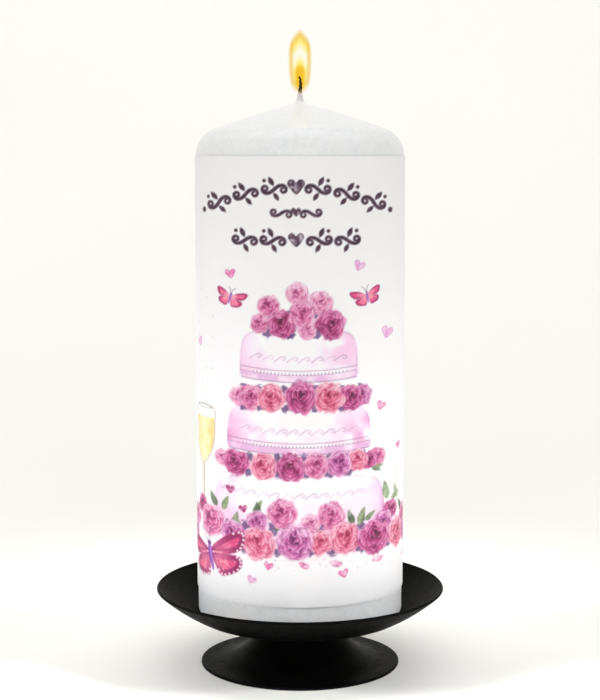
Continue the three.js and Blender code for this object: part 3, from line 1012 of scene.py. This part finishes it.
def butterfly(p, u, z, size, turn=0.0, spread=(1.0, 1.0), grand=False):
    """Two pairs of wings about a slim body. spread narrows the left and the right pair. A grand one has
    veins, and white dots along its dark margins."""
    margin, wing, pale = srgb(140, 24, 88), srgb(224, 66, 124), srgb(252, 176, 186)
    pen = 0.16 if size < 8 else 0.26
    for flip, narrow in zip((-1, 1), spread):
        for outline in (LOWER_WING, UPPER_WING):
            shape = np.array(outline) * (narrow, 1)
            where, across, up, gap = p.shape(placed(rounded(shape, 5), u, z, size, turn, flip))
            far = np.hypot(across - u, up - z) / size
            colour = mixed(wing, pale, np.clip(1.15 - 1.35 * far + 0.4 * p.fine[where], 0, 0.9))
            p.lay(where, colour, within(gap, INK_BLUR) * 0.95)
            wide = (0.075 if grand else 0.05) * size
            border = within(np.abs(gap + wide) - wide, INK_BLUR)
            p.lay(where, margin, border * np.clip(1.9 * far - 0.5, 0.15, 0.95))
            if not grand:
                continue
            root = np.array([0.04 * narrow, shape[0, 1]])
            for tip in rounded(shape, 2)[2:-2]:
                vein = open_curve([root, (root + tip) / 2 + (0, 0.03), tip * 0.9], 3)
                p.stroke(placed(vein, u, z, size, turn, flip), pen, margin, 0.55)
            middle = shape.mean(0)
            for place in rounded(shape, 2) * 0.9 + middle * 0.1:
                if place[0] > 0.74 * narrow or place[1] < -0.4:
                    p.dot(*placed([place], u, z, size, turn, flip)[0], 0.032 * size, PAPER, 0.95)
    body = placed([(0.02, 0.26), (0.0, 0.0), (-0.02, -0.46)], u, z, size, turn)
    p.stroke(open_curve(body), 0.15 * size, srgb(128, 60, 168), 0.95, taper=0.7)
    p.stroke(open_curve(body) + (0.02 * size, 0), 0.05 * size, srgb(196, 130, 214), 0.7, taper=0.8)
    p.dot(*body[0], 0.065 * size, srgb(110, 44, 128))
    for flip in (-1, 1):
        feeler = placed([(0.03, 0.30), (0.10, 0.56), (0.26, 0.72)], u, z, size, turn, flip)
        p.stroke(open_curve(feeler), pen, srgb(96, 60, 104), 0.75)


def flute_glass(p, u, z, turn=0.0):
    """A flute of sparkling wine. (u, z) is the middle of its rim."""
    def at(points):
        return placed(points, u, z, 1.0, turn)

    where, across, up, gap = p.shape(at(rounded(FLUTE, 5)))
    side = np.abs(across - u) / 6
    drop = (z - up) / 22
    wine = ramp(srgb(228, 176, 120), srgb(240, 212, 118), srgb(244, 234, 178),
                1.1 - side + 0.35 * p.middle[where] + 0.2 * p.fine[where])
    p.lay(where, wine, within(gap + 0.4, 0.6) * within(0.19 - drop, 0.03) * 0.85)
    p.lay(where, srgb(168, 156, 152), within(np.abs(gap + 0.2) - 0.16, 0.4) * 0.7)
    rim = at([(5.2 * math.sin(a), 0.7 * math.cos(a)) for a in np.linspace(0, 2 * math.pi, 25)])
    p.stroke(rim, 0.25, srgb(160, 150, 148), 0.75)
    p.stroke(at([(0, -22), (0.1, -30), (0, -38)]), 1.4, srgb(214, 196, 168), 0.8)
    p.stroke(at([(0.55, -22.4), (0.6, -30), (0.5, -38)]), 0.3, srgb(176, 160, 150), 0.7)
    p.stroke(at([(-3.4, -4.5), (-3.9, -9), (-3.4, -15)]), 0.9, srgb(255, 253, 246), 0.75, taper=0.6)
    for _ in range(16):
        bubble = at([(p.rng.uniform(-4, 4), p.rng.uniform(-18, -5))])[0]
        p.dot(*bubble, p.rng.uniform(0.15, 0.3), srgb(255, 252, 235), 0.8)


# ------------------------------------------------------------ the cake

CAKE_MIDDLE = -0.4
TIERS = (  # half width, height of the bottom at the middle, height of the top, bottom's rise at the sides
    (31.4, 58.0, 80.5, 2.0),
    (26.0, 88.8, 107.5, 1.6),
    (21.2, 115.4, 134.5, 1.6),
)
RIBBON = 3.2  # width of the ribbon round a tier's foot


def tier_outline(half, bottom, top, rise):
    """A cake tier from the front: full sides, a domed top edge, and a bottom edge that sags."""
    right = [
        (half * 0.55, bottom + 0.3 * rise), (half * 0.93, bottom + 0.85 * rise), (half, bottom + rise + 1.2),
        (half * 1.01, (2 * bottom + top) / 3), (half * 0.99, (bottom + 2 * top) / 3),
        (half * 0.91, top - 2.2), (half * 0.72, top - 0.3), (half * 0.4, top + 0.6),
    ]
    left = [(-x, y) for x, y in reversed(right)]
    return rounded(np.array([(0, bottom)] + right + left) + (CAKE_MIDDLE, 0), 5)


def cake_tier(p, half, bottom, top, rise, ribbon=True):
    """White icing with thin washes of pink and lilac at its sides and foot, piping, beads and a ribbon."""
    where, across, up, gap = p.shape(tier_outline(half, bottom, top, rise))
    inside = within(gap, 0.9)
    x = (across - CAKE_MIDDLE) / half
    height = (up - bottom) / (top - bottom)
    p.lay(where, srgb(252, 248, 251), inside)
    blots = 0.5 + 0.9 * p.middle[where] * p.broad[where] + 0.35 * p.middle[where]
    side = np.clip(np.abs(x) * 1.6 - 0.78 + 0.3 * p.broad[where], 0, 1)
    p.tint(where, srgb(240, 196, 228), inside * side * np.clip(blots + 0.3, 0, 1))
    low = np.clip(0.95 - height * 1.3 + 0.4 * p.broad[where], 0, 1)
    p.tint(where, srgb(248, 214, 232), inside * low * np.clip(blots + 0.1, 0, 1))
    fringe = within(np.abs(gap + 0.5) - 0.25, 0.9)
    fading = np.clip(blots, 0.1, 1) * np.clip(1.1 - height, 0.35, 1)
    p.tint(where, srgb(232, 190, 226), fringe * fading * 0.8)
    sketch = within(np.abs(gap + 0.2) - 0.06, 0.3)
    p.tint(where, srgb(160, 134, 170), sketch * np.clip(0.3 + 0.9 * p.middle[where], 0, 1) * 0.9)

    def sagging(level):
        xs = np.linspace(-0.985, 0.985, 24)
        return np.column_stack([CAKE_MIDDLE + half * xs, level + rise * xs**2])

    if ribbon:
        grey, lilac = srgb(132, 104, 146), srgb(222, 176, 216)
        sag = rise * x**2
        band = within(np.abs(up - bottom - sag - 1.2) - 1.2, 0.5) * inside
        wash = np.clip(0.35 - 0.9 * p.middle[where] - 0.3 * p.fine[where], 0, 1)
        p.lay(where, mixed(lilac, srgb(240, 218, 234), wash), band * 0.9)
        for level, width, density in ((0.1, 0.34, 0.6), (2.6, 0.24, 0.6), (RIBBON + 1.0, 0.28, 0.65)):
            p.stroke(sagging(bottom + level), width, grey, density)
        bead_pitch = 1.3
        beads = int(half * 0.82 / bead_pitch)
        for k in range(-beads, beads + 1):
            place = k * bead_pitch
            level = bottom + RIBBON + rise * (place / half) ** 2
            fading = 1 - 0.5 * abs(k / beads) ** 3
            p.dot(CAKE_MIDDLE + place + 0.3, level - 0.1, 0.34, srgb(112, 84, 124), 0.75 * fading)
            p.dot(CAKE_MIDDLE + place - 0.1, level + 0.05, 0.42, srgb(255, 253, 255), 0.9 * fading)
    pitch, piping = 4.4, srgb(158, 130, 164)
    curls = int(half * 1.85 / pitch)
    for k in range(curls):
        start = CAKE_MIDDLE + (k - curls / 2) * pitch + p.rng.uniform(-0.3, 0.3)
        level = bottom + (7.4 if ribbon else 14.6) + rise * ((start - CAKE_MIDDLE) / half) ** 2
        crest = [(start, level), (start + 1.5, level + 1.1), (start + 3.1, level + 1.9),
                 (start + 4.2, level + 1.3), (start + 3.7, level + 0.5), (start + 3.0, level + 0.8)]
        p.stroke(open_curve(crest, 5), 0.24, piping, p.rng.uniform(0.35, 0.85))
        p.stroke(open_curve(np.array(crest[:4]) - (0.2, 0.7), 5), 0.3, srgb(240, 206, 226), 0.6)


def shade_between(p, rows):
    """Dark violet dabs that show between the flowers of a row."""
    for places, z, size in rows:
        for u in places:
            where, across, up = p.patch(u, z, 2.6)
            gap = np.hypot((across - u) / 1.5, (up - z) / size) - 1 + 0.5 * p.fine[where]
            p.lay(where, srgb(84, 52, 104), within(gap, 0.6) * 0.8)


# The flowers, from what lies behind to what lies in front: place, radius, ink.
TOPPER = (
    (-0.8, 147.6, 4.3, "blush"), (7.4, 144.4, 4.4, "blush"), (-11.4, 143.2, 3.9, "pink"),
    (-14.6, 136.8, 3.6, "pink"), (2.4, 134.6, 3.6, "blush"), (-6.6, 136.6, 5.2, "deep"),
    (0.8, 140.6, 5.0, "pink"), (11.0, 136.4, 5.5, "deep"),
)
UPPER_ROW = (
    (-22, 109.8, 3.6, "blush"), (22.4, 110, 3.8, "mauve"), (-17.8, 109.4, 4.7, "pink"),
    (18.4, 109.4, 4.8, "deep"), (-10.6, 109.6, 5.2, "coral"), (10.4, 109.8, 5.6, "coral"),
    (0.3, 110.0, 6.1, "deep"),
)
MIDDLE_ROW = (
    (-28.4, 86, 3.1, "blush"), (28.4, 86.4, 3.4, "pink"), (25.2, 85.4, 3.2, "deep"), (-23.6, 85, 4.9, "deep"),
    (20.8, 86.2, 4.2, "coral"), (-13.4, 84.2, 5.2, "coral"), (14.4, 85.4, 4.8, "mauve"),
    (6, 84.8, 4.9, "pink"), (-3.4, 84.2, 5.4, "deep"),
)
BOTTOM_BED = (
    (-38.4, 66.4, 3.4, "deep"), (34.4, 65, 3.6, "deep"), (3.6, 63.2, 3.8, "blush"),
    (31, 61.2, 4.4, "mauve"), (-33.4, 61.2, 6.0, "pink"), (-15.6, 63.8, 3.9, "mauve"),
    (-6.4, 67, 5.7, "pink"), (11.4, 65.8, 5.4, "pink"), (-24.4, 58.4, 4.6, "mauve"),
    (38.4, 55.6, 5.6, "coral"), (7.6, 56.2, 4.6, "coral"), (-15, 55.4, 6.2, "coral"),
    (16.6, 57.2, 6.0, "coral"), (27.4, 56, 6.5, "deep"), (-1.8, 56.4, 6.7, "mauve"),
)
# The same bed of flowers, sparser and smaller, goes on round the sides.
SIDE_BED = (
    (45, 61, 4.6, "pink"), (47.5, 54.6, 4.8, "mauve"), (54, 58, 4.2, "coral"), (61, 55.4, 4.6, "deep"),
    (67.5, 58.6, 3.6, "blush"), (73.5, 54.6, 3.8, "pink"), (81, 56, 3.0, "coral"), (88, 54, 2.4, "blush"),
)
# Dark dabs behind the rows of flowers: places across, their height, and the size of a dab.
DABS_BEHIND_ROWS = (
    ((-20.5, -14.5, -5.2, 5.8, 15.2, 21.6), 112.2, 2.0),
    ((-20.5, -14.5, -5.2, 5.8, 15.2), 106.0, 1.4),
    ((-18.6, -8.4, 1.6, 10.4, 17.8, 23.6), 87.6, 1.6),
    ((-18.6, -8.4, 1.6, 10.4, 17.8), 81.6, 1.4),
    ((-12.0, -3.4, 6.0, -4.4), 133.4, 1.8),
    ((-10.6, -3.0, 5.6), 140.6, 1.6),
)
DABS_BEHIND_BED = (
    ((-28, -20, -10.2, -4.6, 2.2, 7.4, 14, 22.6, 33), 61.2, 2.4),
    ((-20.6, -8.4, 4.0, 11.8, 22, 32.6), 52.6, 1.3),
)


def flowers(p, places):
    for u, z, radius, ink in places:
        p.rose(u, z, radius, ink, lean=(-0.15 if u < 0 else 0.12, 0.22))


LEAVES = (  # root, length, turn, dark
    (-31, 67.0, 6.0, 115, True), (-28.6, 66.2, 6.0, 70, False), (-24.6, 60.4, 6.4, 75, True),
    (-22, 61, 4.6, 120, False), (-17, 66.0, 6.4, 62, False), (-15, 66, 5.0, 100, True),
    (-8.6, 60.4, 5.2, 78, True), (19.6, 62, 6.2, 108, True), (21.6, 61.6, 7.0, 72, False),
    (24, 63, 5.0, 40, False), (32.6, 69.4, 7.2, 100, False), (34.4, 69.2, 5.6, 20, False),
    (38.4, 68.8, 6.0, 115, False), (26.5, 82.6, 3.8, -25, True), (27.4, 82.4, 3.6, 10, False),
)


def leaves(p):
    for leaf in LEAVES:
        p.leaf(*leaf)
    stem = open_curve([(38.6, 66), (37.4, 71), (37.2, 76), (38.6, 81)])
    p.stroke(stem, 0.35, srgb(150, 168, 120), 0.7)


# ------------------------------------------------------------ the ornament above the cake

def scroll(length, curl=2.4, steps=46):
    """A running scroll: a line that coils tighter and tighter at both ends, one end up and one down."""
    t = np.linspace(-1, 1, steps)
    heading = curl * math.pi * t**2
    line = np.cumsum(np.column_stack([np.cos(heading), np.sin(heading)]), 0)
    line -= line.mean(0)
    ends = line[-1] - line[0]
    reach = np.hypot(*(line.max(0) - line.min(0)))
    c, s = ends / np.hypot(*ends)
    return (line @ np.array([[c, -s], [s, c]])) * length / reach


ORNAMENT_MIDDLE = -1.4
ARCH_TOP, ARCH_FALL = 185.6, 0.0068  # the arch falls by this much per square millimetre outwards
ARCH_SCROLLS, ARCH_END = (7.9, 18.2, 28.2), 34.6
LEVEL_BAND, LEVEL_SCROLLS = 166.8, (8.4, 18.6)
SCROLL_LENGTH, SCROLL_WIDTH = 9.6, 1.3


def filigree(p, places, flip):
    """Scrolls end to end along a line of (u, z, slope) places, each with two leaves and a dot."""
    for u, z, slope in places:
        def at(points):
            return placed(points, u, z, SCROLL_LENGTH, slope, flip)

        p.stroke(at(scroll(1.0)), SCROLL_WIDTH, PLUM, 0.95, taper=0.4)
        p.stroke(at([(0.0, 0.14), (0.15, 0.46)]), SCROLL_WIDTH * 1.35, PLUM, 0.95, taper=0.8)
        p.stroke(at([(0.02, -0.14), (-0.13, -0.42)]), SCROLL_WIDTH * 1.2, PLUM, 0.95, taper=0.8)
        p.dot(*at([(0.33, 0.36)])[0], SCROLL_WIDTH / 2, PLUM, 0.95)


def ornament(p):
    """Three bands of plum scrollwork: an arch, a small middle piece and a level band."""
    middle = ORNAMENT_MIDDLE
    for flip in (-1, 1):
        arch = [(middle + flip * across, ARCH_TOP - ARCH_FALL * across**2,
                 -flip * math.degrees(math.atan(2 * ARCH_FALL * across))) for across in ARCH_SCROLLS]
        filigree(p, arch, flip)
        p.dot(middle + flip * ARCH_END, ARCH_TOP - ARCH_FALL * ARCH_END**2, 1.0, PLUM, 0.95)
        small = placed(scroll(8.0, 2.1), middle + flip * 5.4, 176.6, flip=flip)
        p.stroke(small, 1.15, PLUM, 0.95, taper=0.4)
        filigree(p, [(middle + flip * across, LEVEL_BAND, 0) for across in LEVEL_SCROLLS], flip)
    p.heart(middle, ARCH_TOP + 0.4, 5.0, PLUM)
    p.heart(middle, 177.0, 2.8, PLUM)
    p.heart(middle, LEVEL_BAND + 0.2, 4.6, PLUM)


# ------------------------------------------------------------ the whole picture

LOOSE_INKS = {"pink": (222, 96, 160), "orchid": (226, 150, 206), "wine": (158, 34, 96)}
HEARTS = (  # place, size, ink, turn
    (-25.3, 154.4, 3.2, "pink", 10), (21.4, 157.4, 3.4, "orchid", -22), (32.2, 132.2, 4.0, "orchid", -20),
    (29.8, 105.2, 2.9, "pink", -28), (39, 88.6, 2.6, "pink", 15), (-40, 127.8, 3.2, "orchid", 20),
    (-25.7, 74.4, 2.7, "wine", 0), (-20.8, 67.8, 2.6, "wine", 12), (-11.6, 47.2, 2.8, "pink", -14),
    (-17.9, 41.4, 2.8, "orchid", -24), (16, 44, 3.0, "pink", 14), (52, 110, 3.4, "orchid", 18),
    (61, 88, 2.8, "pink", -16), (57, 146, 3.0, "pink", 8), (76, 101, 2.6, "orchid", -10),
    (-58, 139, 3.0, "orchid", -15), (-66, 98, 2.6, "pink", 12), (-83, 86, 2.8, "orchid", 20),
    (84, 76, 2.4, "pink", 25), (95, 94, 2.2, "orchid", -20), (-96, 104, 2.2, "pink", -12),
)
PETALS = (  # place, size, ink, turn
    (1.4, 47.8, 2.2, "pink", -25), (13.2, 48, 2.5, "blush", -12), (29, 47.4, 2.2, "blush", 8),
    (48, 45, 2.0, "pink", 20), (-52, 46, 2.2, "blush", -15), (63, 44, 1.8, "blush", -8),
    (-70, 45, 1.9, "pink", 25),
)


def paint_picture(p):
    """The whole wedding picture, from what lies behind to what lies in front."""
    where, across, up = p.patch(0, 58, 60, 16)
    wash = np.clip(1 - np.hypot(across / 50, (up - 58) / 11), 0, 1)
    p.tint(where, srgb(252, 214, 228), wash * np.clip(0.7 + 0.8 * p.middle[where], 0, 1) * 0.8)
    flute_glass(p, -56, 101, 9)
    flute_glass(p, -37.5, 104)
    for tier in TIERS:
        cake_tier(p, *tier, ribbon=tier is not TIERS[0])
    shade_between(p, DABS_BEHIND_ROWS)
    for row in (UPPER_ROW, MIDDLE_ROW, TOPPER):
        flowers(p, row)
    shade_between(p, DABS_BEHIND_BED)
    leaves(p)
    for side in (-1, 1):
        for u, z, radius, ink in SIDE_BED:
            p.leaf(side * (u - 1.5), z + 1, radius * 1.5, 90 + side * 35, dark=radius > 4)
            p.leaf(side * (u + 2.5), z - 1, radius * 1.3, 90 - side * 62)
        flowers(p, [(side * u, z, radius, ink) for u, z, radius, ink in SIDE_BED])
    flowers(p, BOTTOM_BED)
    butterfly(p, -25.4, 145.8, 5.2, -13, (0.92, 1.05))
    butterfly(p, 24.4, 146.4, 5.2, 13, (1.05, 0.92))
    butterfly(p, -33.8, 48.6, 13.8, 14, grand=True)
    butterfly(p, 66, 128, 5.6, -20, (0.8, 1.0))
    butterfly(p, -74, 118, 6.2, 24, (1.0, 0.8))
    for u, z, size, ink, turn in HEARTS:
        p.heart(u, z, size, srgb(*LOOSE_INKS[ink]), turn)
    for petal in PETALS:
        p.petal(*petal)
    green, rosy = srgb(140, 150, 96), srgb(200, 120, 160)
    p.specks(26, (-42, -32), (84, 150), (green, srgb(190, 190, 190)), (0.12, 0.3))
    p.specks(46, (-40, 42), (44, 52), (srgb(150, 120, 140), rosy), (0.08, 0.24))
    p.specks(30, (-30, 32), (64, 78), (srgb(190, 120, 160), green), (0.08, 0.2))
    ornament(p)
    # No ink is lighter than the paper it is printed on.
    np.minimum(p.rgb, PAPER, out=p.rgb)


# ------------------------------------------------------------ studio

def add_floor(material):
    """A pale sheet of paper that lies flat and curves up behind."""
    width, front, back, sweep, height = 3.0, -2.6, 1.3, 0.9, 2.6
    line = [(front, 0.0), (back - sweep, 0.0)]
    line += [(back - sweep + sweep * math.sin(a), sweep * (1 - math.cos(a)))
             for a in np.radians(np.linspace(5, 90, 18))]
    line += [(back, height)]
    points = [(side * width, y, z) for y, z in line for side in (-1, 1)]
    faces = [(2 * k, 2 * k + 1, 2 * k + 3, 2 * k + 2) for k in range(len(line) - 1)]
    mesh = bpy.data.meshes.new("studio_floor")
    mesh.from_pydata(points, [], faces)
    mesh.materials.append(material)
    mesh.polygons.foreach_set("use_smooth", [True] * len(mesh.polygons))
    floor = bpy.data.objects.new("studio_floor", mesh)
    bpy.context.collection.objects.link(floor)


MIDDLE, LOW = (0, 0, 0.12), (0, 0, 0.025)
LIGHTS = (  # name, place, target, size, power, beam
    ("left_high_box", (-1.15, -0.5, 0.9), MIDDLE, (0.7, 0.9), 2.0, 180),
    ("right_high_box", (1.15, -0.5, 0.9), MIDDLE, (0.7, 0.9), 1.5, 180),
    ("front_softbox", (0, -1.9, 0.7), MIDDLE, (1.6, 0.8), 9.4, 180),
    ("overhead_strip", (0, -0.05, 1.3), (0, 0, 0.2), (1.3, 0.15), 1.5, 180),
    ("left_dish_fill", (-0.81, -0.28, 0.62), LOW, (0.35, 0.12), 0.08, 12),
    ("right_dish_fill", (0.81, -0.28, 0.62), LOW, (0.35, 0.12), 0.08, 12),
    ("backdrop_light", (0, 0.35, 1.5), (0, 1.3, 0.1), (2.4, 0.5), 8.8, 180),
)
FLAME_PLACE = (0, 0, 0.234)


def add_light(name, place, target, size, power, beam):
    """A rectangular softbox. Beam is the angle in degrees that its light keeps to."""
    data = bpy.data.lights.new(name, "AREA")
    data.shape = "RECTANGLE"
    data.size, data.size_y = size
    data.energy = power
    data.spread = math.radians(beam)
    light = bpy.data.objects.new(name, data)
    light.location = place
    light.rotation_euler = (Vector(target) - Vector(place)).to_track_quat("-Z", "Y").to_euler()
    bpy.context.collection.objects.link(light)


def add_flame_light():
    """The little light that the flame sheds on the wax."""
    data = bpy.data.lights.new("flame_light", "POINT")
    data.energy = 0.0022
    data.color = (1.0, 0.97, 0.93)
    data.shadow_soft_size = 0.004
    light = bpy.data.objects.new("flame_light", data)
    light.location = FLAME_PLACE
    bpy.context.collection.objects.link(light)


def light_studio():
    scene = bpy.context.scene
    scene.view_settings.view_transform = "Standard"
    scene.view_settings.look = "None"
    scene.cycles.transparent_max_bounces = 24
    world = bpy.data.worlds.new("studio")
    world.use_nodes = True
    background = world.node_tree.nodes["Background"]
    background.inputs["Color"].default_value = (1.0, 0.995, 0.985, 1)
    background.inputs["Strength"].default_value = 0.60
    scene.world = world
    for light in LIGHTS:
        add_light(*light)
    add_flame_light()


# ------------------------------------------------------------ the scene

def main():
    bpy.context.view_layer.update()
    add_camera()
    coat, zinc = powder_coat(), zinc_plated()
    add_dish(coat)
    add_foot(coat)
    add_pricket(zinc)
    add_washer(zinc)
    add_nut(zinc)
    add_wax(wax(collar_from=217.4))
    add_wick(wick_cotton(char_start=220.2, char_full=222.2))
    add_wrap(printed_paper())
    add_tape(clear_tape())
    add_flame(flame_light())
    add_floor(studio_paper())
    light_studio()
    bpy.context.view_layer.update()


main()
